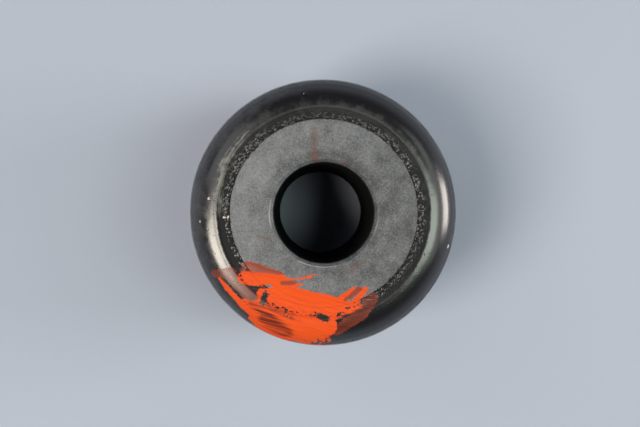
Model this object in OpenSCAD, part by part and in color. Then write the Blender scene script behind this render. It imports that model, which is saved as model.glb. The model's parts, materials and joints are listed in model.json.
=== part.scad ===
// Control arm bushing: a thick steel sleeve with a rubber body moulded and bonded round it.
// The part stands on the sleeve's lower end face, with the bore's axis along +Z.
// All sizes are in millimetres.

/* [Steel sleeve] */
// Diameter of the pivot bolt that passes through the sleeve
bolt_d = 16; // [10:0.5:22]
// Clearance of the bolt in the bore, on the diameter
bolt_clearance = 0.2; // [0.1:0.05:0.6]
// Outside diameter of the sleeve
sleeve_d = 30; // [26:0.25:33]
// Length of the sleeve between its two end faces
sleeve_l = 34; // [20:0.5:80]
// Width of the chamfer round each mouth of the bore
bore_chamfer = 0.5; // [0.2:0.05:1]
// Width of the chamfer round the outer edge of each end face, where the rubber begins
edge_chamfer = 0.2; // [0.1:0.05:0.4]

/* [Rubber body] */
// Outside diameter of the rubber, which is pressed into the eye of the arm
rubber_d = 44; // [40:0.5:56]
// Radius of the rounded rim at each end
rim_r = 4.9; // [2:0.1:5.2]
// Depth of the rim's crown below the sleeve's end face
crown_drop = 0.3; // [0.1:0.05:1.5]
// Width of the collar round the sleeve, where the mould flash was torn off
collar_w = 1.7; // [0.8:0.05:2.2]
// Width of the fine groove between the collar and the rim
groove_w = 0.3; // [0.2:0.05:0.8]
// Depth of the groove below the rim's crown
groove_depth = 0.12; // [0.06:0.02:0.4]
// Angle down the rim, from its crown, at which the mould's parting line runs round
parting_angle = 63; // [40:1:80]
// Radius of the fine bead along the parting line
parting_bead_r = 0.14; // [0.06:0.02:0.3]

/* [Hidden] */
$fn = 120;

// Radii from the bore's axis
bore_r = (bolt_d + bolt_clearance) / 2;
sleeve_r = sleeve_d / 2;
collar_r = sleeve_r + collar_w;
groove_mid_r = collar_r + groove_w / 2;
rubber_r = rubber_d / 2;
// The rim's round is never wider than the rubber outside the collar
rim_round = min(rim_r, rubber_r - collar_r);
rim_mid_r = rubber_r - rim_round;

// Heights from the middle of the bushing's length
face_z = sleeve_l / 2;
collar_z = face_z - edge_chamfer;
crown_z = face_z - crown_drop;
rim_mid_z = crown_z - rim_round;

// Circle whose arc is the groove's floor: it spans the groove's width at the height of the crown
groove_r = (pow(groove_w / 2, 2) + pow(groove_depth, 2)) / (2 * groove_depth);
groove_mid_z = crown_z - groove_depth + groove_r;

// Draws its children at the upper end and again, mirrored, at the lower end
module both_ends() {
    children();
    mirror([0, 1]) children();
}

// Rectangle between two radii, as tall above the bushing's middle as below it
module band(inner_r, outer_r, half_height) {
    translate([inner_r, -half_height])
        square([outer_r - inner_r, 2 * half_height]);
}

// Triangle that cuts a chamfer at the corner of radius r on the upper end face;
// side is 1 where the metal lies outside that radius and -1 where it lies inside
module chamfer_cut(r, width, side) {
    translate([r, face_z])
        polygon([[0, -width], [side * width, 0], [0, 0]]);
}

// Half section of the sleeve's wall
module sleeve_section() {
    difference() {
        band(bore_r, sleeve_r, face_z);
        both_ends() {
            chamfer_cut(bore_r, bore_chamfer, 1);
            chamfer_cut(sleeve_r, edge_chamfer, -1);
        }
    }
}

// Half section of the rubber: straight side, rounded rims, collars and the grooves that part them
module rubber_section() {
    difference() {
        union() {
            band(sleeve_r, rubber_r, rim_mid_z);
            band(sleeve_r, rim_mid_r, crown_z);
            band(sleeve_r, collar_r, collar_z);
            both_ends()
                translate([rim_mid_r, rim_mid_z]) {
                    intersection() {
                        circle(rim_round);
                        square(rim_round);
                    }
                    translate(rim_round * [sin(parting_angle), cos(parting_angle)])
                        circle(parting_bead_r, $fn = 24);
                }
        }
        both_ends()
            intersection() {
                translate([groove_mid_r, groove_mid_z])
                    circle(groove_r, $fn = 48);
                translate([collar_r, 0])
                    square([rim_round, face_z]);
            }
    }
}

// Thick-walled steel tube with a plain bore and flat end faces
module inner_sleeve() {
    color("#7C7C7E")
        translate([0, 0, face_z])
            rotate_extrude()
                sleeve_section();
}

// Rubber ring moulded round the sleeve, with the same rounded end above and below
module rubber_body() {
    color("#1D1D20")
        translate([0, 0, face_z])
            rotate_extrude()
                rubber_section();
}

inner_sleeve();
rubber_body();
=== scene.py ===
"""Looks of a control arm bushing: a phosphated steel sleeve in moulded rubber, daubed with marking paint.

Every piece is a ring: a closed half section carried round the bore's axis, worked out as one grid of points.
Sizes are in millimetres until the points go into a mesh, which is in metres.
"""

import json
import logging
import math
from dataclasses import dataclass, field
from enum import Enum
from functools import partial
from itertools import product
from typing import Mapping, Sequence

import bpy
import numpy as np
from mathutils import Matrix, Vector


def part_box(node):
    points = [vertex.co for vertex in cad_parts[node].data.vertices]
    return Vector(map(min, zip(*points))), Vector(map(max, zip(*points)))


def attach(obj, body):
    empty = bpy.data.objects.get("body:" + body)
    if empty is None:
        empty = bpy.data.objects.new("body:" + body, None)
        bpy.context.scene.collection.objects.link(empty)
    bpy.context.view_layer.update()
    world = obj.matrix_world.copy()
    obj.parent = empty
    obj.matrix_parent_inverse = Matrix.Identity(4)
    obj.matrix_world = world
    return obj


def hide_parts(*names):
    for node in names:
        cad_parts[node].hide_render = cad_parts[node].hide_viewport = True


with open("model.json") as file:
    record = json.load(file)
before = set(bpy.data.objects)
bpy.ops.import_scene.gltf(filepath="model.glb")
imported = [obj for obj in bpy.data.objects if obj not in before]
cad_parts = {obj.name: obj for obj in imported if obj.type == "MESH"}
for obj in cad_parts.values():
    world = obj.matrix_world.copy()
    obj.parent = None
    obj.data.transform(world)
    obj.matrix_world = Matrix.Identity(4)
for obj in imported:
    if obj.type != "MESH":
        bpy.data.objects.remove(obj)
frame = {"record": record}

Array = np.ndarray
Pair = tuple[float, float]
Socket = bpy.types.NodeSocket
Tree = bpy.types.NodeTree
log = logging.getLogger("bushing")

MM = 0.001
BODY = "root"
# Reach of a place that no stroke comes near, and the depth that stands for being far outside a stroke
FAR_REACH = 150.0
FAR_DEPTH = -9.0


class End(Enum):
    """An end of the bushing, with the way its face looks along the bore's axis."""

    UPPER = 1
    LOWER = -1


def linear(code: str) -> tuple[float, float, float, float]:
    """Turns an sRGB hex colour into linear light.

    Args:
        code: Six hex digits after a hash sign.

    Returns:
        Red, green, blue and an alpha of 1.
    """
    shares = np.array([int(code[i : i + 2], 16) for i in (1, 3, 5)]) / 255
    light = np.where(shares <= 0.04045, shares / 12.92, ((shares + 0.055) / 1.055) ** 2.4)
    return (*light.tolist(), 1.0)


def per_size(size_mm: float) -> float:
    """Texture scale at which one feature of a pattern on Object coordinates measures size_mm."""
    return 1 / (size_mm * MM)


def smooth(value: Array, low: float, high: float) -> Array:
    """Eases from 0 at low to 1 at high along the cubic 3t^2 - 2t^3."""
    t = np.clip((value - low) / (high - low), 0, 1)
    return t * t * (3 - 2 * t)


def bell(value: Array, middle: float, width: float) -> Array:
    """Bell curve exp(-((v - m) / w)^2), which is 1 at its middle m."""
    return np.exp(-((value - middle) / width) ** 2)


def towards(points: Array, way: float) -> Array:
    """Distance of each point from the axis in one way: x cos w + y sin w, with w its angle from +X."""
    return points @ np.array([math.cos(way), math.sin(way), 0.0])


def line(start: Pair, end: Pair, steps: int) -> Array:
    """Straight stretch of a half section, sampled evenly.

    Args:
        start: Radius and height of its first point.
        end: Radius and height of the point after its last, which the next stretch begins with.
        steps: Number of points.

    Returns:
        Points as rows of radius and height.
    """
    t = np.arange(steps)[:, None] / steps
    return (1 - t) * np.array(start) + t * np.array(end)


def arc(centre: Pair, radius: float, start: float, end: float, steps: int) -> Array:
    """Round stretch of a half section, sampled evenly: centre plus radius times (cos a, sin a).

    Args:
        centre: Radius and height of the arc's centre.
        radius: Radius of the arc.
        start: Angle of its first point, in degrees.
        end: Angle of the point after its last, in degrees.
        steps: Number of points.

    Returns:
        Points as rows of radius and height.
    """
    angle = np.radians(start + (end - start) * np.arange(steps) / steps)
    return np.array(centre) + radius * np.stack([np.cos(angle), np.sin(angle)], axis=1)


@dataclass(frozen=True)
class Lattice:
    """Seeded noise on a lattice of cells, the same on every run.

    Attributes:
        seed: Number that sets this noise apart from another.
        cell_mm: Size of a cell in smooth noise.
    """

    seed: int
    cell_mm: float = 1.0

    def chance(self, cells: Array, draw: int = 0) -> Array:
        """Evenly spread number from 0 to 1 for each cell: its corner's integers, mixed and multiplied.

        Args:
            cells: Integer corners, with two or three numbers in the last axis.
            draw: Which of a cell's numbers to give.

        Returns:
            One number for each cell.
        """
        primes = np.array([73856093, 19349663, 83492791], np.uint64)[: cells.shape[-1]]
        mixed = cells.astype(np.int64).astype(np.uint64) * primes
        code = np.bitwise_xor.reduce(mixed, axis=-1) + np.uint64(self.seed * 7919 + draw * 104729)
        for shift in (33, 29, 32):
            code = (code ^ (code >> np.uint64(shift))) * np.uint64(0xFF51AFD7ED558CCD)
        return (code >> np.uint64(40)).astype(float) / 2**24

    def value(self, points: Array) -> Array:
        """Smooth noise from -1 to 1: corner chances blended by the cubic of smooth in each direction.

        Args:
            points: Places in millimetres, with three numbers in the last axis.

        Returns:
            One number for each point.
        """
        cells = points / self.cell_mm
        base = np.floor(cells)
        share = smooth(cells - base, 0, 1)
        total = np.zeros(cells.shape[:-1])
        for corner in product((0, 1), repeat=3):
            step = np.array(corner)
            weight = np.prod(np.where(step, share, 1 - share), axis=-1)
            total += weight * self.chance(base + step)
        return 2 * total - 1

    def crumbs(self, points: Array, wrap: int) -> tuple[Array, Array]:
        """Nearest of one scattered seed per cell, as in broken grains.

        Args:
            points: Places in cells, two numbers in the last axis, the first of which runs round the axis.
            wrap: Number of cells round the axis, after which they repeat.

        Returns:
            Distance to the nearest seed, in cells, and that seed's own chance.
        """
        base = np.floor(points)
        nearest = np.full(points.shape[:-1], np.inf)
        owner = np.zeros(points.shape[:-1])
        for corner in product((-1, 0, 1), repeat=2):
            cell = base + np.array(corner)
            code = np.stack([cell[..., 0] % wrap, cell[..., 1]], axis=-1)
            seed = cell + np.stack([self.chance(code, draw) for draw in (1, 2)], axis=-1)
            distance = np.linalg.norm(points - seed, axis=-1)
            closer = distance < nearest
            nearest = np.where(closer, distance, nearest)
            owner = np.where(closer, self.chance(code, 4), owner)
        return nearest, owner


@dataclass
class Ring:
    """Surface of revolution: a closed half section carried round the axis, pushed out along its normals.

    A point is (r cos a, r sin a, z), where r and z run along the half section and a runs round the axis.

    Attributes:
        section: Half section as rows of radius and height, counter-clockwise with the radius to the right.
        turns: Number of steps round the axis.
        push: Height of the surface above the plain ring at each step round and each row of the section.
    """

    section: Array
    turns: int
    push: Array = field(init=False)

    def __post_init__(self) -> None:
        """Starts from the plain ring."""
        self.push = np.zeros((self.turns, len(self.section)))

    @property
    def angle(self) -> Array:
        """Angle round the axis at each step, as a column, in radians."""
        return np.linspace(0, 2 * np.pi, self.turns, endpoint=False)[:, None]

    @property
    def outward(self) -> Array:
        """Unit normal of each row of the section: its tangent, turned a quarter clockwise."""
        tangent = np.roll(self.section, -1, axis=0) - np.roll(self.section, 1, axis=0)
        normal = np.stack([tangent[:, 1], -tangent[:, 0]], axis=1)
        return normal / np.linalg.norm(normal, axis=1, keepdims=True)

    def points(self) -> Array:
        """Places of all points, in millimetres, as steps round by rows by three."""
        flat = self.section + self.push[..., None] * self.outward
        radius, height = flat[..., 0], flat[..., 1]
        return np.stack([radius * np.cos(self.angle), radius * np.sin(self.angle), height], axis=-1)

    def mesh(self, name: str, marks: Mapping[str, Array]) -> bpy.types.Object:
        """Puts the grid into a mesh that closes on itself both ways.

        Args:
            name: Name of the piece.
            marks: Named number for each point, which the finishes read.

        Returns:
            The new piece, at the origin, riding on the part's body.
        """
        rows = len(self.section)
        index = np.arange(self.turns * rows).reshape(self.turns, rows)
        ahead, above = np.roll(index, -1, axis=0), np.roll(index, -1, axis=1)
        quads = np.stack([index, ahead, np.roll(ahead, -1, axis=1), above], axis=-1).reshape(-1, 4)
        mesh = bpy.data.meshes.new(name)
        mesh.from_pydata((self.points() * MM).reshape(-1, 3), [], quads)
        for mark, value in marks.items():
            layer = mesh.attributes.new(mark, "FLOAT", "POINT")
            layer.data.foreach_set("value", np.broadcast_to(value, index.shape).astype(np.float32).ravel())
        mesh.polygons.foreach_set("use_smooth", np.ones(len(quads), bool))
        mesh.update()
        piece = bpy.data.objects.new(name, mesh)
        bpy.context.scene.collection.objects.link(piece)
        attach(piece, BODY)
        return piece


@dataclass(frozen=True)
class Stroke:
    """One mark on the upper end, as a band that tapers between its two ends.

    A place is a turn, in degrees clockwise from +X seen from above, and a reach, the distance from the
    axis along the surface in millimetres.

    Attributes:
        start: Turn and reach where it starts.
        end: Turn and reach where it ends.
        half_widths: Half its width at its start and at its end, in millimetres.
    """

    start: Pair
    end: Pair
    half_widths: Pair

    def depth(self, plan: Array) -> Array:
        """Depth inside the band: half its width nearest to a point, less the distance to its middle line.

        Args:
            plan: Unrolled places, with two numbers in the last axis.

        Returns:
            Millimetres, below 0 outside the band.
        """
        first, last = (reach * np.array([math.cos(math.radians(turn)), -math.sin(math.radians(turn))])
                       for turn, reach in (self.start, self.end))
        along = last - first
        share = np.clip((plan - first) @ along / max(along @ along, 1e-9), 0, 1)
        distance = np.linalg.norm(plan - first - share[..., None] * along, axis=-1)
        wide, narrow = self.half_widths
        return wide + (narrow - wide) * share - distance


def depths(strokes: Mapping[str, Sequence[Stroke]], angle: Array, reach: Array,
           blend: float = 0.12) -> dict[str, Array]:
    """Depth inside strokes of each kind: the soft maximum b ln(sum of exp(d/b)) of their depths d.

    Args:
        strokes: Strokes by the name of the mark that they leave.
        angle: Angle round the axis of each point, in radians.
        reach: Distance from the axis along the surface of each point, in millimetres.
        blend: Width over which neighbouring strokes run into each other, in millimetres.

    Returns:
        The depths in millimetres, by the same names.
    """
    angle, reach = np.broadcast_arrays(angle, reach)
    plan = np.stack([reach * np.cos(angle), reach * np.sin(angle)], axis=-1)
    found = {}
    for mark, kind in strokes.items():
        inside = [stroke.depth(plan) / blend for stroke in kind]
        found[mark] = np.maximum(blend * np.logaddexp.reduce(inside), FAR_DEPTH)
    return found


@dataclass(frozen=True)
class PaintDab:
    """Marking paint wiped over one end with a stiff brush. Each field leaves a mark of its own name.

    Attributes:
        paint: Pulls of the brush that left a full coat.
        film: Pulls that left a thin film.
        tint: Places that are only tinted.
        dry: Places where the brush ran dry, one of which also darkens the lower rim as painted shade.
        pitted: Places where the full coat missed more spots than elsewhere.
        bare: Places that the full coat left bare.
    """

    paint: Sequence[Stroke] = (
        Stroke((88, 15.3), (104, 14.8), (2.2, 2.25)),
        Stroke((104, 15.0), (124, 15.3), (2.3, 2.2)),
        Stroke((89.5, 18.2), (122, 18.4), (2.0, 2.0)),
        Stroke((91, 21.8), (119, 21.0), (1.9, 1.15)),
        Stroke((122, 13.0), (140.8, 16.4), (1.25, 1.1)),
        Stroke((147.8, 19.95), (142, 19.82), (0.26, 0.52)),
        Stroke((142, 19.82), (131, 19.9), (0.52, 0.65)),
        Stroke((131, 19.9), (118, 20.5), (0.65, 1.1)),
        Stroke((124.3, 21.2), (119, 21.9), (0.6, 1.1)),
        Stroke((118, 22.3), (106, 22.8), (1.2, 1.0)),
        Stroke((124, 18.5), (132, 18.9), (0.9, 0.35)),
        Stroke((119, 12.2), (110, 11.15), (0.3, 0.08)),
        Stroke((110, 11.15), (103, 10.45), (0.06, 0.25)),
        Stroke((103, 10.45), (96.5, 9.9), (0.25, 0.05)),
        Stroke((113.5, 12.7), (107, 11.9), (0.34, 0.2)),
        Stroke((86, 15.6), (71, 15.5), (1.6, 0.55)),
        Stroke((81.5, 14.3), (68.3, 12.95), (0.55, 0.25)),
        Stroke((72.5, 15.4), (60.9, 13.85), (0.58, 0.4)),
        Stroke((84, 16.2), (69, 16.0), (0.9, 0.42)),
    )
    film: Sequence[Stroke] = (
        Stroke((144, 14.9), (126, 12.3), (1.1, 0.8)),
        Stroke((145, 17.9), (126, 18.2), (0.9, 1.0)),
        Stroke((151, 20.3), (147, 17.6), (0.7, 0.85)),
        Stroke((121, 12.9), (112, 12.3), (0.6, 0.5)),
        Stroke((60.5, 15.8), (70, 17.2), (0.95, 1.05)),
        Stroke((70, 17.2), (84, 19.15), (1.05, 0.9)),
        Stroke((78.5, 14.4), (65, 13.5), (0.3, 0.5)),
        Stroke((265.2, 12.6), (264.8, 11.8), (-0.05, 0.0)),
        Stroke((261.9, 9.6), (261.5, 8.6), (-0.1, 0.1)),
        Stroke((289.3, 8.9), (289.3, 8.7), (0.1, 0.2)),
        Stroke((151.2, 12.0), (150.2, 12.2), (0.02, 0.06)),
        Stroke((182, 14.3), (178.5, 14.8), (-0.1, 0.05)),
    )
    tint: Sequence[Stroke] = (
        Stroke((263.4, 13.4), (259.5, 8.5), (0.55, 0.75)),
        Stroke((70, 10.3), (53, 10.0), (0.4, 0.5)),
        Stroke((159.5, 10.9), (154.7, 9.9), (0.5, 0.45)),
    )
    dry: Sequence[Stroke] = (
        Stroke((129, 18.8), (119, 18.8), (0.5, 1.0)),
        # Dry brush over the lower rim, partly painted shade where the rim turns away from the light
        Stroke((118, 19.6), (108, 20.5), (1.6, 1.5)),
        Stroke((125, 17.6), (107, 17.5), (0.3, 0.25)),
    )
    pitted: Sequence[Stroke] = (
        Stroke((121, 17.0), (108, 16.6), (0.5, 0.4)),
        Stroke((108, 16.6), (95, 16.45), (0.35, 0.3)),
        Stroke((124, 17.5), (106, 17.4), (0.25, 0.15)),
        Stroke((126, 15.8), (124, 17.6), (0.6, 0.7)),
        Stroke((94.5, 16.4), (88.5, 16.9), (0.5, 0.75)),
        Stroke((94, 22.1), (85, 20.9), (1.2, 0.8)),
        Stroke((82, 16.6), (66, 15.4), (0.45, 0.3)),
        Stroke((145, 16.6), (139, 17.1), (0.7, 0.5)),
    )
    bare: Sequence[Stroke] = (
        Stroke((136, 17.35), (126, 14.4), (0.2, 0.16)),
        Stroke((125.8, 16.1), (124.4, 17.0), (0.42, 0.48)),
        Stroke((93.2, 16.5), (89.2, 16.9), (0.36, 0.5)),
        Stroke((91.5, 22.9), (84.5, 21.7), (0.25, 0.45)),
        Stroke((74, 14.5), (69.5, 13.8), (0.1, 0.25)),
        Stroke((120.5, 13.0), (113.5, 12.15), (0.25, 0.3)),
    )

    def marks(self, angle: Array, reach: Array) -> dict[str, Array]:
        """Depth of paint and smears at each point.

        Args:
            angle: Angle round the axis of each point, in radians.
            reach: Distance from the axis along the surface of each point, in millimetres.

        Returns:
            The depths in millimetres by the names of the marks, with bare places taken off the full coat.
        """
        found = depths(vars(self), angle, reach)
        found["paint"] = np.minimum(found["paint"], -found.pop("bare"))
        return found


def add(tree: Tree, kind: str, inputs: Mapping[str | int, object] | None = None, out: str | int = 0,
        **settings: object) -> Socket:
    """Adds a node to a tree.

    Args:
        tree: Node tree of a material or a world.
        kind: Blender's name of the node, without its ShaderNode prefix.
        inputs: Values or sockets by the name or number of the input.
        out: Name or number of the output.
        **settings: Properties of the node.

    Returns:
        That output of the new node.
    """
    made = tree.nodes.new("ShaderNode" + kind)
    for name, value in settings.items():
        setattr(made, name, value)
    for key, value in (inputs or {}).items():
        if isinstance(value, Socket):
            tree.links.new(value, made.inputs[key])
        else:
            made.inputs[key].default_value = value
    return made.outputs[out]


def blank(name: str) -> tuple[bpy.types.Material, bpy.types.Node]:
    """Makes a material with only its principled shader.

    Args:
        name: Name of the material.

    Returns:
        The material and its shader node.
    """
    material = bpy.data.materials.new(name)
    material.use_nodes = True
    shader = next(node for node in material.node_tree.nodes if node.type == "BSDF_PRINCIPLED")
    return material, shader


def along_turn(tree: Tree, length: float, spacing_mm: float) -> Socket:
    """Coordinates for streaks that run round the axis, without a seam.

    They are the direction from the axis, stretched, with the reach as the third number.

    Args:
        tree: Node tree of a material whose mesh has the mark reach.
        length: Length of a streak, as an angle in radians.
        spacing_mm: Spacing of the streaks.

    Returns:
        The coordinates.
    """
    node = partial(add, tree)
    place = node("TexCoord", out="Object")
    flat = node("VectorMath", {0: place, 1: (1.0, 1.0, 0.0)}, operation="MULTIPLY")
    way = node("VectorMath", {0: flat}, operation="NORMALIZE")
    reach = node("Attribute", out="Fac", attribute_name="reach")
    rows = node("Math", {0: reach, 1: spacing_mm}, operation="DIVIDE")
    up = node("CombineXYZ", {"Z": rows})
    return node("VectorMath", {0: way, 1: (1 / length,) * 3, 2: up}, operation="MULTIPLY_ADD")


@dataclass(frozen=True)
class Skin:
    """Sockets of a finish on their way to the shader.

    Attributes:
        colour: Base colour.
        roughness: Roughness.
        specular: Level of the mirror-like part, where 0.5 is the plain level for its index.
        height: Relief for the bump.
    """

    colour: Socket
    roughness: Socket
    specular: Socket
    height: Socket

    def dress(self, tree: Tree, shader: bpy.types.Node, strength: float, depth_mm: float) -> None:
        """Links the finish to the shader.

        Args:
            tree: Node tree of the material.
            shader: Its principled shader.
            strength: Strength of the bump.
            depth_mm: Depth of the relief.
        """
        normal = add(tree, "Bump", {"Height": self.height, "Strength": strength, "Distance": depth_mm * MM})
        for name, socket in (("Base Color", self.colour), ("Roughness", self.roughness),
                             ("Specular IOR Level", self.specular), ("Normal", normal)):
            tree.links.new(socket, shader.inputs[name])


@dataclass(frozen=True)
class MarkingPaint:
    """Orange marking lacquer, brushed on: opaque where it is full, a rusty smear where it is thin.

    Attributes:
        body: Colour of the full coat.
        deep: Colour where the bristles dragged it thinner.
        dregs_and_shade: Colour of what a dry brush leaves between its streaks, which on the lower rim also
            stands for painted shade.
        smear: Colour of the thin film.
        trace: Colour of a mere tint on the steel.
        fringe_mm: Size of the notches along its edges.
        spot_mm: Size of the spots that it missed.
        bristle_mm: Length and spacing of the bristle marks.
        bristle_way: Way in which the brush was pulled, as an angle from +X in radians.
        coat_edge: Depths between which the full coat sets in, in millimetres.
        film_edge: Depths between which the film sets in.
        film_pool: Depths between which the film thins from its pooled edge to its middle.
        film_middle: Share of the film that is left in its middle.
        tint_edge: Depths between which a tint sets in.
        tint_hides: How much of the surface a tint hides.
        film_rough: Roughness of the film.
        coat_rough: Roughness of the full coat, from its smoothest to its dullest.
        specular: Level of the paint's mirror-like part.
    """

    body: str = "#D64B0C"
    deep: str = "#C8410B"
    dregs_and_shade: str = "#4A1208"
    smear: str = "#863620"
    trace: str = "#583E34"
    fringe_mm: float = 0.3
    spot_mm: float = 0.5
    bristle_mm: Pair = (4.5, 0.24)
    bristle_way: float = math.radians(-17)
    coat_edge: Pair = (-0.06, 0.16)
    film_edge: Pair = (-0.15, 0.2)
    film_pool: Pair = (0.15, 0.75)
    film_middle: float = 0.68
    tint_edge: Pair = (-0.3, 0.5)
    tint_hides: float = 0.5
    film_rough: float = 0.42
    coat_rough: Pair = (0.6, 0.8)
    specular: float = 0.2

    def over(self, tree: Tree, under: Skin, stain: float) -> Skin:
        """Lays the paint over another finish, by the marks paint, film, tint, dry and pitted on the mesh.

        Args:
            tree: Node tree of the material.
            under: Finish below the paint.
            stain: How much of the surface the film hides; past 1, its pooled edge is opaque.

        Returns:
            The finish with the paint on it.
        """
        node = partial(add, tree)
        place = node("TexCoord", out="Object")
        paint, film, tint, dry, pitted = (node("Attribute", out="Fac", attribute_name=mark)
                                          for mark in ("paint", "film", "tint", "dry", "pitted"))
        # Bristle marks along the pull, and notches and spots that run no way
        long, wide = (per_size(size) for size in self.bristle_mm)
        pulled = node("VectorRotate", {"Vector": place, "Angle": -self.bristle_way}, rotation_type="Z_AXIS")
        combed = node("VectorMath", {0: pulled, 1: (long, wide, long)}, operation="MULTIPLY")
        bristle = node("TexNoise", {"Vector": combed, "Scale": 1.0, "Detail": 2.0})
        fringe, spots = (
            node("TexNoise", {"Vector": place, "Scale": per_size(size), "Detail": detail, "Roughness": 0.6})
            for size, detail in ((self.fringe_mm, 4.0), (self.spot_mm, 3.0))
        )
        loose, comb = (node("Math", {0: noise, 1: -0.5}, operation="ADD") for noise in (fringe, bristle))
        # Full coat, frayed along its edges, with spots that it missed
        notched = node("Math", {0: loose, 1: 0.65, 2: paint}, operation="MULTIPLY_ADD")
        frayed = node("Math", {0: comb, 1: 0.5, 2: notched}, operation="MULTIPLY_ADD")
        holed = node("MapRange", {"Value": pitted, "From Min": -0.4, "From Max": 0.4, "To Max": 0.2})
        spotted = node("Math", {0: spots, 1: holed}, operation="ADD")
        missed = node("MapRange", {"Value": spotted, "From Min": 0.7, "From Max": 0.76, "To Max": 5.0})
        left = node("Math", {0: frayed, 1: missed}, operation="SUBTRACT")
        # Film wiped along the pull, and a tint that is little more than a stain
        wet = node("Math", {0: loose, 1: 0.6, 2: film}, operation="MULTIPLY_ADD")
        wiped = node("Math", {0: comb, 1: 0.5, 2: wet}, operation="MULTIPLY_ADD")
        blotted = node("Math", {0: loose, 1: 1.2, 2: tint}, operation="MULTIPLY_ADD")
        # How much each of the three hides, by its depth
        laid, smeared, faint = (
            node("MapRange", {"Value": depth, "From Min": low, "From Max": high, "To Max": most},
                 interpolation_type="SMOOTHSTEP")
            for depth, (low, high), most in (
                (left, self.coat_edge, 1.0),
                (wiped, self.film_edge, stain),
                (blotted, self.tint_edge, self.tint_hides),
            )
        )
        # The film pools along its edges and is streaked by the bristles
        rich, spent = self.film_pool
        drawn = node("MapRange", {"Value": wiped, "From Min": rich, "From Max": spent, "To Min": 1.0,
                                  "To Max": self.film_middle})
        pooled = node("Math", {0: smeared, 1: drawn}, operation="MULTIPLY")
        uneven = node("MapRange", {"Value": bristle, "From Min": 0.3, "From Max": 0.7, "To Min": 0.6,
                                   "To Max": 1.1})
        streaked = node("Math", {0: pooled, 1: uneven}, operation="MULTIPLY")
        thin = node("Math", {0: streaked, 1: faint}, operation="MAXIMUM")
        # Colour of the coat, scraped to its dregs where the brush ran dry; on the lower rim these dark dregs
        # are partly painted shade
        tone = node("MapRange", {"Value": bristle, "From Min": 0.35, "From Max": 0.75})
        orange = node("Mix", {0: tone, 6: linear(self.body), 7: linear(self.deep)}, 2, data_type="RGBA")
        dragged = node("MapRange", {"Value": dry, "From Min": -0.6, "From Max": 0.6, "To Max": 0.41})
        streak = node("Math", {0: bristle, 1: dragged}, operation="ADD")
        scraped = node("MapRange", {"Value": streak, "From Min": 0.66, "From Max": 1.02, "To Min": 1.0,
                                    "To Max": 0.05})
        brushed = node("Mix", {0: scraped, 6: linear(self.dregs_and_shade), 7: orange}, 2, data_type="RGBA")
        # Tint, film and coat, each over what lies below
        colour = under.colour
        for share, hue in ((faint, linear(self.trace)), (streaked, linear(self.smear)), (laid, brushed)):
            colour = node("Mix", {0: share, 6: colour, 7: hue}, 2, data_type="RGBA")
        # Gloss and relief
        smoothest, dullest = self.coat_rough
        dull = node("MapRange", {"Value": fringe, "To Min": smoothest, "To Max": dullest})
        roughness, specular = under.roughness, under.specular
        for share, rough in ((thin, self.film_rough), (laid, dull)):
            roughness = node("Mix", {0: share, 2: roughness, 3: rough})
            specular = node("Mix", {0: share, 2: specular, 3: self.specular})
        relief = node("Math", {0: bristle, 1: 0.6, 2: 0.6}, operation="MULTIPLY_ADD")
        height = node("Mix", {0: laid, 2: under.height, 3: relief})
        return Skin(colour, roughness, specular, height)


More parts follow.
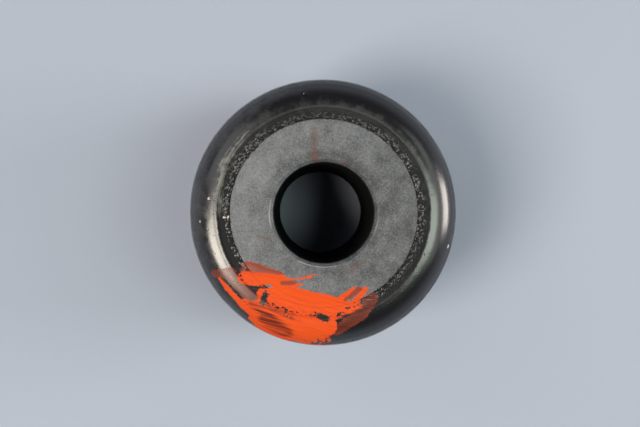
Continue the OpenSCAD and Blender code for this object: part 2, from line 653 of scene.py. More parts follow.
@dataclass(frozen=True)
class PhosphatedSteel:
    """Mild steel, blasted and phosphated: a matte mid grey with a fine crystalline speckle.

    The mouth of the bore was turned after, and its bare metal is painted pale as glints, a painted highlight;
    the bore itself is oiled dark and painted darker still as shade.

    Attributes:
        light: Colour of the crystals that catch the light.
        dark: Colour between the crystals.
        bare: Colour of bare turned steel, made pale as a painted glint.
        oiled_and_shaded: Colour of the bore's wall: oiled, and near black as painted shade down the deep
            bore.
        film: Colour of rubber squeezed out over the edge of the face.
        grain_mm: Size of the speckle, drawn coarser than the crystals so that it shows.
        cloud_mm: Size of the paler and darker patches.
        groove_mm: Spacing of the turning marks at the mouth of the bore, drawn coarser so that they show.
        groove_turn: Length of a turning mark, as an angle in radians.
        stain: How much of it a film of paint hides.
        bump: Strength and depth of its relief, the depth in millimetres.
    """

    light: str = "#7F8287"
    dark: str = "#333539"
    bare: str = "#8C8C8E"
    oiled_and_shaded: str = "#08080A"
    film: str = "#1C1C1E"
    grain_mm: float = 0.24
    cloud_mm: float = 2.2
    groove_mm: float = 0.26
    groove_turn: float = 0.7
    stain: float = 1.3
    bump: Pair = (0.4, 0.06)

    def material(self, paint: MarkingPaint) -> bpy.types.Material:
        """Builds the material, with the paint on top.

        Args:
            paint: Paint that lies over the steel.

        Returns:
            The new material.
        """
        material, shader = blank("phosphated_mild_steel_blasted")
        tree = material.node_tree
        node = partial(add, tree)
        place = node("TexCoord", out="Object")
        grain = node("TexNoise", {"Vector": place, "Scale": per_size(self.grain_mm), "Detail": 3.0,
                                  "Roughness": 0.7})
        cloud = node("TexNoise", {"Vector": place, "Scale": per_size(self.cloud_mm), "Detail": 4.0})
        rounds = along_turn(tree, self.groove_turn, self.groove_mm)
        ridge = node("TexNoise", {"Vector": rounds, "Scale": 1.0})
        turned, bore, edge, pale = (node("Attribute", out="Fac", attribute_name=mark)
                                    for mark in ("turned", "bore", "squeezed", "pale"))
        # Crystals in paler and darker patches, and the pale mark: paler on the lamp side as painted light,
        # darker round the bore's mouth as painted shade
        crystal = node("Math", {0: grain, 1: 1.25}, operation="MULTIPLY")
        patch = node("Math", {0: cloud, 1: 0.75, 2: crystal}, operation="MULTIPLY_ADD")
        mixed = node("Math", {0: pale, 1: 0.13, 2: patch}, operation="MULTIPLY_ADD")
        tone = node("MapRange", {"Value": mixed, "From Min": 0.69, "From Max": 1.49})
        # Ridges of the turning marks, worn bare and painted pale as glints, dimmer on the +Y side as painted
        # shade
        cut = node("Math", {0: turned, 1: ridge}, operation="MULTIPLY")
        worn = node("MapRange", {"Value": cut, "From Min": 0.52, "From Max": 0.72})
        # Rubber that crept over the edge of the face, as ragged as the grain
        loose = node("Math", {0: grain, 1: -0.5}, operation="ADD")
        crept = node("Math", {0: loose, 1: 0.9, 2: edge}, operation="MULTIPLY_ADD")
        rubbery = node("MapRange", {"Value": crept, "From Min": -0.03, "From Max": 0.05})
        # Colours, each over what lies below; the bore's wall is near black, partly as painted shade
        colour = linear(self.dark)
        for share, hue in ((tone, self.light), (worn, self.bare), (bore, self.oiled_and_shaded), (rubbery, self.film)):
            colour = node("Mix", {0: share, 6: colour, 7: linear(hue)}, 2, data_type="RGBA")
        # Gloss
        matte = node("MapRange", {"Value": grain, "To Min": 0.5, "To Max": 0.75})
        cleaner = node("Mix", {0: worn, 2: matte, 3: 0.4})
        roughness = node("Mix", {0: bore, 2: cleaner, 3: 0.8})
        specular = node("Mix", {0: bore, 2: 0.5, 3: 0.15})
        painted = paint.over(tree, Skin(colour, roughness, specular, grain), self.stain)
        painted.dress(tree, shader, *self.bump)
        return material


@dataclass(frozen=True)
class MouldedRubber:
    """Carbon-black natural rubber from a turned mould: near black and glossy, hazed where it has bloomed.

    Attributes:
        black: Colour of the clean moulded skin.
        torn: Colour of rubber torn open.
        bloom: Colour of the haze.
        scuffed: Colour of a rubbed and dusty place.
        dust_and_glints: Colour of specks of dust, some of them painted glints.
        ior: Refractive index, a little raised by the carbon black.
        bloom_mm: Size of the hazy patches.
        pit_mm: Spacing of the fine pits.
        mark_mm: Spacing of the mould's turning marks, drawn coarser than they are so that they show.
        mark_turn: Length of a turning mark, as an angle in radians.
        scuff_mm: Size of the flecks in a rubbed place.
        stain: How much of it a film of paint hides.
        bump: Strength and depth of its relief, the depth in millimetres.
    """

    black: str = "#161619"
    torn: str = "#202022"
    bloom: str = "#4A4A4C"
    scuffed: str = "#6A6C68"
    dust_and_glints: str = "#C9C9C4"
    ior: float = 1.62
    bloom_mm: float = 1.9
    pit_mm: float = 0.75
    mark_mm: float = 0.2
    mark_turn: float = 0.5
    scuff_mm: float = 0.8
    stain: float = 0.66
    bump: Pair = (0.3, 0.03)

    def material(self, paint: MarkingPaint) -> bpy.types.Material:
        """Builds the material, with the paint on top.

        Args:
            paint: Paint that lies over the rubber.

        Returns:
            The new material.
        """
        material, shader = blank("natural_rubber_moulded_black")
        tree = material.node_tree
        node = partial(add, tree)
        place = node("TexCoord", out="Object")
        cloud = node("TexNoise", {"Vector": place, "Scale": per_size(self.bloom_mm), "Detail": 6.0,
                                  "Roughness": 0.68})
        rounds = along_turn(tree, self.mark_turn, self.mark_mm)
        swirl = node("TexNoise", {"Vector": rounds, "Scale": 1.0, "Detail": 2.0})
        nap = node("TexNoise", {"Vector": place, "Scale": per_size(self.scuff_mm), "Detail": 5.0})
        torn, haze, scuff, dust_and_glints = (node("Attribute", out="Fac", attribute_name=mark)
                                   for mark in ("torn", "haze", "scuff", "dust_and_glints"))
        # Patchy bloom, with the haze mark's painted light that makes the rim paler on the lamp side
        patch = node("Math", {0: cloud, 1: 0.75, 2: haze}, operation="MULTIPLY_ADD")
        bloom_and_lit_side = node("MapRange", {"Value": patch, "From Min": 0.34, "From Max": 0.98})
        # Rubbed places, streaked along the turning marks, and near-white specks: dust, some of them painted
        # glints
        combed = node("Math", {0: swirl, 1: 2.0}, operation="MULTIPLY")
        streaky = node("Math", {0: nap, 1: 2.2, 2: combed}, operation="MULTIPLY_ADD")
        ragged = node("Math", {0: streaky, 1: scuff}, operation="ADD")
        rubbed = node("MapRange", {"Value": ragged, "From Min": 2.05, "From Max": 2.85, "To Max": 0.85})
        dust_and_sheen = node("MapRange", {"Value": dust_and_glints, "From Min": -0.06, "From Max": 0.06})
        # Colours, each over what lies below
        colour = linear(self.black)
        layers = ((torn, self.torn), (bloom_and_lit_side, self.bloom), (rubbed, self.scuffed), (dust_and_sheen, self.dust_and_glints))
        for share, hue in layers:
            colour = node("Mix", {0: share, 6: colour, 7: linear(hue)}, 2, data_type="RGBA")
        # Gloss, pits and turning marks
        sheen = node("Math", {0: bloom_and_lit_side, 1: 0.35, 2: 0.22}, operation="MULTIPLY_ADD")
        worn = node("Mix", {0: rubbed, 2: sheen, 3: 0.55})
        gloss = node("Mix", {0: torn, 2: worn, 3: 0.62})
        specular = node("Mix", {0: torn, 2: 0.5, 3: 0.07})
        pits = node("TexVoronoi", {"Vector": place, "Scale": per_size(self.pit_mm)})
        dent = node("MapRange", {"Value": pits, "From Min": 0.05, "From Max": 0.2, "To Min": -1.6,
                                 "To Max": 0.0})
        level = node("Math", {0: swirl, 1: 0.5, 2: dent}, operation="MULTIPLY_ADD")
        painted = paint.over(tree, Skin(colour, gloss, specular, level), self.stain)
        painted.dress(tree, shader, *self.bump)
        shader.inputs["IOR"].default_value = self.ior
        return material


def edge_fall(radius: Array, outer_r: float, depth: float = 0.05, run: Pair = (0.85, 0.35)) -> Array:
    """Fall of the sleeve's blasted face towards its edge: a cubic ease to its depth.

    Args:
        radius: Distance from the axis.
        outer_r: Radius of the sleeve.
        depth: Whole fall.
        run: Distances in from the outside at which the fall begins and ends.

    Returns:
        Millimetres below the face.
    """
    return depth * smooth(radius, outer_r - run[0], outer_r - run[1])


@dataclass
class SteelSleeve:
    """Thick-walled tube that the pivot bolt clamps.

    Attributes:
        bore_r: Radius of the bore.
        outer_r: Radius of the outside.
        length: Distance between the end faces.
        bore_chamfer: Width of the chamfer at each mouth of the bore.
        edge_chamfer: Width of the chamfer round each face.
        grain_depth: Depth of the blasted grain.
        dent_depth: Depth of the dents at the mouths of the bore.
        grime_height: Height of the grime on the bore's wall, near its lower mouth.
        turned_out: How far outside the bore the turned ring has its middle.
        lit_way: Way in which the face is painted paler, as painted light from the lamp side, as an angle from
            +X in radians.
        turns: Steps round the axis.
    """

    bore_r: float
    outer_r: float
    length: float
    bore_chamfer: float = 0.5
    edge_chamfer: float = 0.2
    grain_depth: float = 0.012
    dent_depth: float = 0.07
    grime_height: float = 0.08
    turned_out: float = 0.55
    lit_way: float = math.radians(166)
    turns: int = 900

    def section(self) -> Array:
        """Half section, counter-clockwise from the lower mouth of the bore.

        Returns:
            Rows of radius and height, closest together on the upper face, which shows most.
        """
        mouth, rim = self.bore_r + self.bore_chamfer, self.outer_r - self.edge_chamfer
        top, grime_top = self.length, 2.0
        corners = [
            (self.bore_r, self.bore_chamfer), (mouth, 0.0), (rim, 0.0), (self.outer_r, self.edge_chamfer),
            (self.outer_r, top - self.edge_chamfer), (rim, top), (mouth, top),
            (self.bore_r, top - self.bore_chamfer), (self.bore_r, grime_top),
        ]
        steps = (4, 14, 3, 2, 3, 48, 6, 10, 6)
        return np.concatenate([line(start, end, count)
                               for start, end, count in zip(corners, corners[1:] + corners[:1], steps)])

    def build(self, dab: PaintDab) -> bpy.types.Object:
        """Builds the sleeve with its blasted faces, nicked chamfers and marks for the finish.

        Args:
            dab: Paint that lies on the upper face.

        Returns:
            The piece, which stands for the CAD sleeve.
        """
        ring = Ring(self.section(), self.turns)
        radius, height = ring.section.T
        plain = ring.points()
        depth = self.length / 2 - abs(height - self.length / 2)
        mouth = bell(radius, self.bore_r + self.bore_chamfer / 2, 0.35) * (depth < 1.0)
        dents = smooth(Lattice(11, 0.55).value(plain), 0.3, 0.8) * mouth
        grain = 0.5 + 0.5 * Lattice(12, 0.3).value(plain)
        on_wall = radius < self.bore_r + 0.01
        grime = smooth(Lattice(13, 0.8).value(plain), 0.0, 0.7) * bell(height, 0.0, 1.1) * on_wall
        flat = (depth < 0.01) & (radius > self.bore_r + self.bore_chamfer)
        worn = self.grain_depth * grain + self.dent_depth * dents + flat * edge_fall(radius, self.outer_r)
        ring.push = self.grime_height * grime - worn
        reach = np.where(height > self.length / 2, radius - on_wall * depth, FAR_REACH)
        # Painted shade: the face darkens round the bore's mouth, more on the +Y side
        shaded = smooth(plain[..., 1], 0, self.bore_r)
        shade_by_bore = 1 - smooth(radius, self.bore_r + 1.2, self.bore_r + 2.6)
        turned = smooth(-abs(radius - self.bore_r - self.turned_out), -0.5, -0.1)
        marks = dab.marks(ring.angle, reach) | {
            "reach": reach,
            # turned: ring at the bore's mouth painted pale as glints, dimmer on the +Y side
            "turned": turned * (1 - 0.35 * shaded),
            # bore: the wall below its mouth, painted near black, partly as painted shade
            "bore": on_wall * smooth(depth, 0.4, 0.55),
            "squeezed": radius - self.outer_r - 0.05 + 0.36 * Lattice(14, 0.5).value(plain),
            # pale: paler on the lamp side as painted light, darker round the bore's mouth as painted shade
            "pale": towards(plain, self.lit_way) / self.outer_r - shade_by_bore * (0.6 + 0.7 * shaded),
        }
        piece = ring.mesh("inner_sleeve_skin", marks)
        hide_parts("inner_sleeve")
        return piece


@dataclass
class RubberBody:
    """Rubber moulded round the sleeve, with a rounded rim, a groove and a collar at each end.

    Attributes:
        inner_r: Radius of the sleeve that it is bonded to.
        outer_r: Radius of the outside.
        length: Length of the sleeve.
        edge_chamfer: Depth of the collars below the sleeve's faces.
        rim_r: Radius of the rounded rims.
        crown_drop: Depth of the rims' crowns below the sleeve's faces.
        collar_w: Width of the collars.
        groove_w: Width of the grooves.
        groove_depth: Depth of the grooves below the crowns.
        parting_angle: Angle down the rim at which the mould's parting line runs, in degrees.
        parting_r: Radius of the bead along the parting line.
        lip_round: Softness of the corner between collar and groove.
        wave_depth: Depth of the skin's long waves.
        ripple_depth: Depth of its fine ripple.
        lit_haze_way: Way in which the rim is painted paler, as painted light from the lamp side, as an angle
            from +X in radians.
        clean_way: Way to the stretch where the flash came off clean, as an angle from +X in radians.
        scuff: Rubbed places on the upper end.
        dust_and_glints: Specks on the upper end: dust, and some painted glints.
        upper_rows: Steps down the upper end's rim and across its groove.
        lower_rows: The same for the lower end, which is seen less.
        turns: Steps round the axis.
    """

    inner_r: float
    outer_r: float
    length: float
    edge_chamfer: float = 0.2
    rim_r: float = 4.9
    crown_drop: float = 0.3
    collar_w: float = 1.7
    groove_w: float = 0.3
    groove_depth: float = 0.12
    parting_angle: float = 63.0
    parting_r: float = 0.14
    lip_round: float = 0.03
    wave_depth: float = 0.03
    ripple_depth: float = 0.005
    lit_haze_way: float = math.radians(165)
    clean_way: float = math.radians(195)
    scuff: Sequence[Stroke] = (
        Stroke((181, 16.4), (188, 16.6), (0.75, 0.7)),
        Stroke((188, 17.0), (206, 17.8), (0.6, 0.7)),
        Stroke((201.7, 17.2), (210.5, 16.2), (0.25, 0.3)),
        Stroke((206, 17.7), (226, 17.9), (0.75, 0.3)),
        Stroke((212, 16.4), (236, 16.3), (0.2, 0.1)),
    )
    dust_and_glints: Sequence[Stroke] = (
        # Near-white specks: some dust, some painted glints where crumbs and rim catch the light
        Stroke((177.4, 16.0), (177.2, 15.8), (0.14, 0.1)),
        Stroke((177.3, 15.3), (177.8, 15.2), (0.1, 0.1)),
        Stroke((186.8, 18.6), (187.6, 18.5), (0.14, 0.1)),
        Stroke((176.2, 20.1), (175.6, 20.1), (0.1, 0.1)),
        Stroke((14.7, 21.6), (15.6, 21.6), (0.16, 0.16)),
        Stroke((260.4, 19.4), (260.4, 19.4), (0.08, 0.08)),
    )
    upper_rows: tuple[int, int] = (46, 9)
    lower_rows: tuple[int, int] = (34, 7)
    turns: int = 900

    @property
    def rim_mid(self) -> Pair:
        """Radius of the rims' middle circle, and its height on the upper end."""
        return self.outer_r - self.rim_r, self.length - self.crown_drop - self.rim_r

    @property
    def groove_mid(self) -> float:
        """Radius of the middle of the grooves."""
        return self.inner_r + self.collar_w + self.groove_w / 2

    def lip(self, radius: Array) -> Array:
        """Height of the upper collar and groove: the lower of the collar's plane and the groove's circle.

        The circle spans the groove's width at the crown's height, and beyond its radius a steep slope carries
        it on upwards. It meets the plane in the soft minimum -k ln(exp(-a/k) + exp(-b/k)), because the
        moulded corner is rounded.

        Args:
            radius: Distance from the axis.

        Returns:
            Height above the lower face, in millimetres.
        """
        arc_r = (self.groove_w**2 / 4 + self.groove_depth**2) / (2 * self.groove_depth)
        arc_mid = self.length - self.crown_drop - self.groove_depth + arc_r
        away = radius - self.groove_mid
        outside = 8 * np.maximum(abs(away) - arc_r, 0)
        circle = arc_mid - np.sqrt(np.maximum(arc_r**2 - away**2, 0)) + outside
        plane = self.length - self.edge_chamfer
        return -self.lip_round * np.logaddexp(-plane / self.lip_round, -circle / self.lip_round)

    def end(self, rim_rows: int, groove_rows: int) -> Array:
        """One end's half section, drawn on the upper end, from the top of the straight side in to the sleeve.

        Args:
            rim_rows: Steps down the rim.
            groove_rows: Steps across the groove.

        Returns:
            Rows of radius and height: the rim's quarter circle, then the groove and the collar.
        """
        groove_edge = self.inner_r + self.collar_w + self.groove_w
        lip_edge = groove_edge - self.groove_w - 0.1
        collar = [(lip_edge + self.inner_r) / 2, self.inner_r]
        radius = np.append(np.linspace(groove_edge, lip_edge, groove_rows), collar)
        return np.concatenate([
            arc(self.rim_mid, self.rim_r, 0, 90, rim_rows),
            line((self.rim_mid[0], self.length - self.crown_drop), (groove_edge, self.lip(groove_edge)), 1),
            np.stack([radius, self.lip(radius)], axis=1),
        ])

    def mirrored(self, section: Array) -> Array:
        """Half section of the upper end turned over for the lower end, with its rows in the other order."""
        return (section * (1, -1) + (0, self.length))[::-1]

    def section(self) -> Array:
        """Whole half section, counter-clockwise from the sleeve on the lower end."""
        upper, lower = self.end(*self.upper_rows), self.mirrored(self.end(*self.lower_rows))
        side = line(tuple(lower[-1]), tuple(upper[0]), 8)
        return np.concatenate([lower[:-1], side, upper])

    def reach(self, section: Array) -> Array:
        """Distance along the upper end from the axis: the radius up to the rim, then along its arc and side.

        Args:
            section: Rows of radius and height.

        Returns:
            Millimetres for each row.
        """
        out, up = section[:, 0] - self.rim_mid[0], section[:, 1] - self.rim_mid[1]
        fall = np.arctan2(np.maximum(out, 0), np.maximum(up, 1e-6))
        return np.minimum(section[:, 0], self.rim_mid[0]) + self.rim_r * fall + np.maximum(-up, 0)

    def build(self, dab: PaintDab) -> bpy.types.Object:
        """Builds the body with its uneven skin, torn parting lines and marks for the finish.

        Args:
            dab: Paint that lies on the upper end.

        Returns:
            The piece, which stands for the CAD rubber.
        """
        ring = Ring(self.section(), self.turns)
        plain = ring.points()
        radius, height = ring.section.T
        crown = self.rim_mid[0]
        reach = self.reach(ring.section)
        nearer = np.minimum(reach, self.reach(np.stack([radius, self.length - height], axis=1)))
        bead = bell(nearer, crown + self.rim_r * math.radians(self.parting_angle), self.parting_r)
        torn_bead = bead * (0.55 + 0.45 * Lattice(21, 0.7).value(plain))
        wave = self.wave_depth * (Lattice(22, 6.0).value(plain) - 1)
        ripple = self.ripple_depth * (Lattice(23, 0.9).value(plain) - 1)
        ring.push = smooth(radius, crown - 0.2, crown + 0.4) * (wave + ripple) + self.parting_r * torn_bead
        ragged = radius + 0.12 * Lattice(25, 0.5).value(plain)
        marks = dab.marks(ring.angle, reach) | self.wear(ring.angle, reach) | {
            "reach": nearer,
            "torn": 1 - smooth(ragged, crown - 0.2, crown + 0.15),
            "haze": self.haze(plain, nearer) + 0.5 * torn_bead,
        }
        piece = ring.mesh("rubber_body_skin", marks)
        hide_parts("rubber_body")
        return piece

    def wear(self, angle: Array, reach: Array) -> dict[str, Array]:
        """Depth inside the rubbed places and the specks of dust and painted glints at each angle and reach,
        in millimetres.
        """
        return depths({"scuff": self.scuff, "dust_and_glints": self.dust_and_glints}, angle, reach)

    def clean(self, plain: Array) -> Array:
        """How clean the flash came off, from 0 to 1: an ease over the cosine of the turn from clean_way."""
        return smooth(towards(plain, self.clean_way) / np.hypot(plain[..., 0], plain[..., 1]), 0.93, 0.985)

    def haze(self, plain: Array, reach: Array) -> Array:
        """How far the rubber has bloomed: in patches, on the far crown and in the groove, plus painted light
        that makes it paler on the lamp side.

        Args:
            plain: Places of the points.
            reach: Distance along the nearer end from the axis of each row.

        Returns:
            A number from about -0.3, clean, to 0.3, hazed.
        """
        crown = self.rim_mid[0]
        # Paler towards the lamp side: painted light, not bloom
        side = towards(plain, self.lit_haze_way) / self.outer_r * smooth(reach, crown + 0.5, crown + 3.0)
        far = bell(reach, crown + 0.35, 0.8) * smooth(plain[..., 1], 0, 0.7 * self.outer_r)
        gathered = bell(reach, self.groove_mid, 0.35) * (1 - self.clean(plain))
        patches = Lattice(24, 7.0).value(plain)
        return 0.08 * patches + 0.24 * side + 0.15 * far + 0.22 * gathered - 0.12


@dataclass(frozen=True)
class Grains:
    """Broken grains of one size, scattered over a ring.

    Attributes:
        seed: Number of their noise.
        spacing: Their spacing round the axis and across the ring.
        lean: Share of the pattern's warp that moves them across the ring.
        spread: How far a grain reaches from its seed, in cells.
        kept: Chances between which grains set in; one with less is missing.
        vary: Share of a grain's height that is left to chance.
        height: Height of the tallest.
    """

    seed: int
    spacing: Pair
    lean: float
    spread: float
    kept: Pair
    vary: float
    height: float

    def heights(self, ring: Ring, middle_r: float, warp: Array) -> Array:
        """Height of the grains: 1 less the squared distance to the nearest seed, times that grain's size.

        Args:
            ring: Ring that they lie on.
            middle_r: Radius at which their spacing holds.
            warp: Shift of the pattern at each point, in cells.

        Returns:
            Millimetres for each point of the ring.
        """
        count = round(2 * math.pi * middle_r / self.spacing[0])
        around = ring.angle * count / (2 * np.pi) + warp
        across = ring.section[:, 0] / self.spacing[1] + self.lean * warp
        distance, chance = Lattice(self.seed).crumbs(np.stack([around, across], axis=-1), count)
        dome = np.clip(1 - (distance / self.spread) ** 2, 0, 1)
        return self.height * dome * smooth(chance, *self.kept) * (1 - self.vary + self.vary * chance)


@dataclass(frozen=True)
class TornFlash:
    """Crumbly ring where mould flash was torn off one end: broken grains stuck along the rubber's collar.

    Attributes:
        body: Rubber that it lies on.
        end: End of the bushing.
        lap: How far it reaches in over the sleeve's face.
        gap: How far it stays off the groove.
        root: How deep its underside is buried.
        sink: How far it lies below what carries it where it has no grain.
        deep_sink: How much lower it lies where it has to stay hidden.
        clear: How far its grains stay below the sleeve's face.
        coarse: Coarse grains along the sleeve's edge.
        fine: Fine grains over the rest of the collar.
    """

    body: RubberBody
    end: End
    lap: float = 0.5
    gap: float = 0.02
    root: float = 0.4
    sink: float = 0.006
    deep_sink: float = 0.05
    clear: float = 0.004
    coarse: Grains = Grains(31, (0.5, 0.34), 1.0, 0.58, (0.12, 0.32), 0.6, 0.11)
    fine: Grains = Grains(33, (0.32, 0.24), -1.0, 0.55, (0.3, 1.0), 0.0, 0.042)

    @property
    def grid(self) -> tuple[int, int]:
        """Steps round the axis and across the ring, fewer on the lower end, which is seen less."""
        return (1800, 44) if self.end is End.UPPER else (1200, 22)

    @property
    def outer_r(self) -> float:
        """Radius of its outer edge."""
        return self.body.inner_r + self.body.collar_w - self.gap

    @property
    def rim_r(self) -> float:
        """Radius at which the sleeve's chamfer begins."""
        return self.body.inner_r - self.body.edge_chamfer

    def section(self) -> Array:
        """Half section: along the collar, the sleeve's chamfer and its face, with a buried underside.

        Returns:
            Rows of radius and height.
        """
        body = self.body
        across = np.linspace(self.outer_r, body.inner_r - self.lap, self.grid[1])
        chamfer = body.length - body.edge_chamfer + body.inner_r - across
        steel = np.where(across > self.rim_r, chamfer, body.length - edge_fall(across, body.inner_r))
        top = np.where(across > body.inner_r, body.lip(across), steel)
        buried = np.stack([across[[-1, 0]], top[[-1, 0]] - self.root], axis=1)
        section = np.concatenate([np.stack([across, top], axis=1), buried])
        return section if self.end is End.UPPER else body.mirrored(section)

    def grains(self, ring: Ring, plain: Array) -> Array:
        """Height of the grains: coarse by the sleeve, fine outside, and fewer where the flash came off clean.

        Args:
            ring: The plain ring.
            plain: Places of its points.

        Returns:
            Millimetres for each point.
        """
        inner_r = self.body.inner_r
        past = ring.section[:, 0] - inner_r
        warp = 0.6 * Lattice(35, 0.8).value(plain)
        clump = 0.35 + 0.65 * smooth(Lattice(32, 1.5).value(plain), -0.9, -0.1)
        by_sleeve = smooth(past, -0.04, 0.2) * (1 - smooth(past, 0.8, 1.4))
        edge = self.outer_r - inner_r
        outside = smooth(past, 0.2, 0.7) * (1 - smooth(past, edge - 0.2, edge))
        low = 1 - 0.52 * smooth(plain[..., 1], 0.7 * inner_r, inner_r)
        bare = 1 - 0.85 * self.body.clean(plain) * smooth(past, 0.5, 0.9)
        coarse, fine = (kind.heights(ring, inner_r, warp) for kind in (self.coarse, self.fine))
        return low * bare * (coarse * by_sleeve * clump + fine * outside)

    def build(self, dab: PaintDab) -> bpy.types.Object:
        """Builds the ring: its grains, and the ramp of paint that bridges the step beside the sleeve.

        Args:
            dab: Paint that lies on the upper end.

        Returns:
            The piece.
        """
        body, middle = self.body, self.body.length / 2
        ring = Ring(self.section(), self.grid[0])
        plain = ring.points()
        radius, height = ring.section.T
        reach = radius if self.end is End.UPPER else np.full(len(radius), FAR_REACH)
        marks = dab.marks(ring.angle, reach) | body.wear(ring.angle, reach)
        grains = self.grains(ring, plain)
        painted = smooth(marks["paint"], 0.0, 0.4)
        ramp = body.length - body.edge_chamfer * smooth(radius, self.rim_r - 0.1, body.inner_r + 0.7)
        bridge = (ramp - height) * smooth(radius, body.inner_r - self.lap, self.rim_r) * painted
        on_steel = 1 - smooth(radius, body.inner_r - 0.12, body.inner_r + 0.02)
        lifted = np.maximum(grains - self.deep_sink * on_steel, bridge - self.deep_sink * (1 - painted))
        room = middle - self.clear - abs(plain[..., 2] - middle)
        shown = (height - middle) * self.end.value > middle - 0.25
        ring.push = np.where(shown, np.minimum(lifted - self.sink, room), 0.0)
        # Haze: paler towards +Y as dust, and paler on the grains' crowns as a painted sheen
        dust_and_sheen = 0.1 * smooth(plain[..., 1], 0, 0.7 * body.inner_r) + 0.2 * smooth(grains, 0.01, 0.06)
        marks |= {
            "reach": radius,
            "torn": 1 - smooth(grains, 0.01, 0.045),
            "haze": 0.1 * Lattice(34, 2.0).value(plain) - 0.1 + dust_and_sheen,
        }
        piece = ring.mesh(f"torn_flash_{self.end.name.lower()}", marks)
        return piece


@dataclass(frozen=True)
class Lamp:
    """Soft panel of light that faces the bushing.

    Attributes:
        name: Name of the lamp.
        turn: Way to it, in degrees clockwise from +X seen from above.
        zenith: Angle of the way to it from straight up, in degrees.
        across: Its width round the bushing, in millimetres.
        tall: Its height, in millimetres.
        radiance: Brightness of its panel, where 1 is white.
        colour: Colour of its light.
    """

    name: str
    turn: float
    zenith: float
    across: float
    tall: float
    radiance: float
    colour: str = "#FFFFFF"

    def place(self, target: Vector, distance: float) -> None:
        """Hangs the lamp.

        Args:
            target: What it faces, in metres.
            distance: How far off it hangs, in metres.
        """
        light = bpy.data.lights.new(self.name, "AREA")
        light.shape = "RECTANGLE"
        light.size, light.size_y = self.across * MM, self.tall * MM
        light.energy = self.radiance * math.pi * light.size * light.size_y
        light.color = linear(self.colour)[:3]
        lamp = bpy.data.objects.new(self.name, light)
        turn, zenith = math.radians(self.turn), math.radians(self.zenith)
        flat = math.sin(zenith)
        way = Vector((flat * math.cos(turn), -flat * math.sin(turn), math.cos(zenith)))
        lamp.location = target + distance * way
        lamp.rotation_euler = (-way).to_track_quat("-Z", "Y").to_euler()
        lamp.visible_camera = False
        bpy.context.scene.collection.objects.link(lamp)


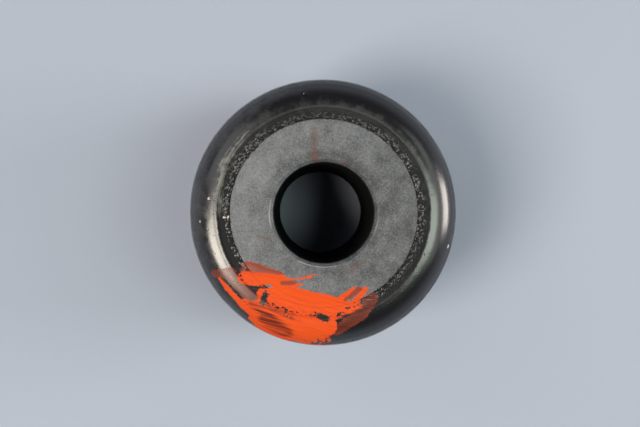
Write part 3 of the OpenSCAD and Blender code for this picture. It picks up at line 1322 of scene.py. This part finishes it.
@dataclass
class Studio:
    """Pale floor, soft lamps and the camera that looks almost straight down on the bushing.

    Attributes:
        top: Height of the bushing's upper face, in millimetres.
        lamps: The lamps.
        lamp_distance: How far the lamps hang from the bushing, in millimetres.
        camera_at: Camera's place, in millimetres.
        looks_at: Point on the upper face at the middle of the picture, in millimetres.
        picture_px: Width of the picture, in pixels.
        focal_px: Distance of the picture plane, in pixels.
        floor_half: Half the floor's width, in millimetres.
        floor_colour: Colour of the floor.
        floor_fibre: Colour of its darker fibres.
        fibre_mm: Size of the fibres' patches.
        horizon: Colour of the surroundings at eye level.
        ceiling: Colour of the surroundings overhead.
    """

    top: float
    lamps: Sequence[Lamp] = (
        Lamp("left_key", 158, 34.5, 150, 222, 17.6, "#FFF5E6"),
        Lamp("left_spill", 210, 43, 230, 360, 1.3),
        Lamp("right_fill", 7, 26, 150, 195, 7.3, "#F1FFEF"),
        Lamp("right_wall", 352, 46, 420, 150, 1.4),
        Lamp("right_window", 356.5, 73, 170, 195, 12.6, "#FFF6EE"),
    )
    lamp_distance: float = 450.0
    camera_at: tuple[float, float, float] = (-2.73, 0.73, 159.8)
    looks_at: Pair = (-0.62, -0.12)
    picture_px: float = 640.0
    focal_px: float = 790.6
    floor_half: float = 380.0
    floor_colour: str = "#A2AABB"
    floor_fibre: str = "#8891A6"
    fibre_mm: float = 1.2
    horizon: str = "#BFC5D0"
    ceiling: str = "#2B2D33"

    def build(self) -> None:
        """Sets up floor, lamps, surroundings and camera."""
        self._floor()
        self._surroundings()
        target = Vector((0, 0, self.top * MM))
        for lamp in self.lamps:
            lamp.place(target, self.lamp_distance * MM)
        self._camera()
        bpy.context.scene.view_settings.view_transform = "Standard"

    def _floor(self) -> None:
        """Lays the floor: one flat square of matte card, far wider than the part, faintly mottled."""
        half = self.floor_half * MM
        corners = [(x * half, y * half, 0) for x, y in ((-1, -1), (1, -1), (1, 1), (-1, 1))]
        mesh = bpy.data.meshes.new("floor")
        mesh.from_pydata(corners, [], [(0, 1, 2, 3)])
        floor = bpy.data.objects.new("floor", mesh)
        bpy.context.scene.collection.objects.link(floor)
        material, shader = blank("matte_card_floor")
        tree = material.node_tree
        node = partial(add, tree)
        place = node("TexCoord", out="Object")
        fibre = node("TexNoise", {"Vector": place, "Scale": per_size(self.fibre_mm), "Detail": 4.0})
        tone = node("MapRange", {"Value": fibre, "To Max": 0.08})
        pale, dark = linear(self.floor_colour), linear(self.floor_fibre)
        colour = node("Mix", {0: tone, 6: pale, 7: dark}, 2, data_type="RGBA")
        tree.links.new(colour, shader.inputs["Base Color"])
        shader.inputs["Roughness"].default_value = 0.9
        floor.data.materials.append(material)

    def _surroundings(self) -> None:
        """Makes the surroundings pale at eye level and dim overhead, by the height of the way looked."""
        world = bpy.data.worlds.new("studio")
        world.use_nodes = True
        tree = world.node_tree
        node = partial(add, tree)
        height = node("SeparateXYZ", {0: node("TexCoord", out="Generated")}, "Z")
        rise = node("MapRange", {"Value": height, "From Min": 0.02, "From Max": 0.55})
        pale, dim = linear(self.horizon), linear(self.ceiling)
        colour = node("Mix", {0: rise, 6: pale, 7: dim}, 2, data_type="RGBA")
        background = next(found for found in tree.nodes if found.type == "BACKGROUND")
        tree.links.new(colour, background.inputs["Color"])
        bpy.context.scene.world = world

    def _camera(self) -> None:
        """Puts the camera where the picture was taken from, almost straight above the bore."""
        data = bpy.data.cameras.new("camera")
        data.sensor_width = 36.0
        data.lens = self.focal_px / self.picture_px * data.sensor_width
        data.clip_start = 0.005
        camera = bpy.data.objects.new("camera", data)
        camera.location = Vector(self.camera_at) * MM
        back = (camera.location - Vector((*self.looks_at, self.top)) * MM).normalized()
        right = Vector((0, 1, 0)).cross(back).normalized()
        camera.rotation_euler = Matrix((right, back.cross(right), back)).transposed().to_euler()
        bpy.context.scene.collection.objects.link(camera)
        bpy.context.scene.camera = camera


def mount_radius(name: str) -> float:
    """Radius of one of the part's round mounts, in millimetres."""
    return next(mount["dims"]["r_mm"] for mount in frame["record"]["mounts"] if mount["name"] == name)


def main() -> None:
    """Builds the bushing's pieces in order, dresses them, reports them and sets up the studio."""
    logging.basicConfig(level=logging.INFO, format="%(name)s %(message)s")
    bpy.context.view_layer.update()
    low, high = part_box("inner_sleeve")
    sleeve_r, length = high.x / MM, (high.z - low.z) / MM
    sleeve = SteelSleeve(mount_radius("bolt_bore"), sleeve_r, length)
    body = RubberBody(sleeve_r, mount_radius("arm_eye"), length)
    dab, paint = PaintDab(), MarkingPaint()
    steel, rubber = PhosphatedSteel().material(paint), MouldedRubber().material(paint)
    made = [(sleeve, steel), (body, rubber), *((TornFlash(body, end), rubber) for end in End)]
    for assembly, material in made:
        piece = assembly.build(dab)
        piece.data.materials.append(material)
        log.info("%s: %d points, %d faces", piece.name, len(piece.data.vertices), len(piece.data.polygons))
    Studio(length).build()


if __name__ == "__main__":
    main()
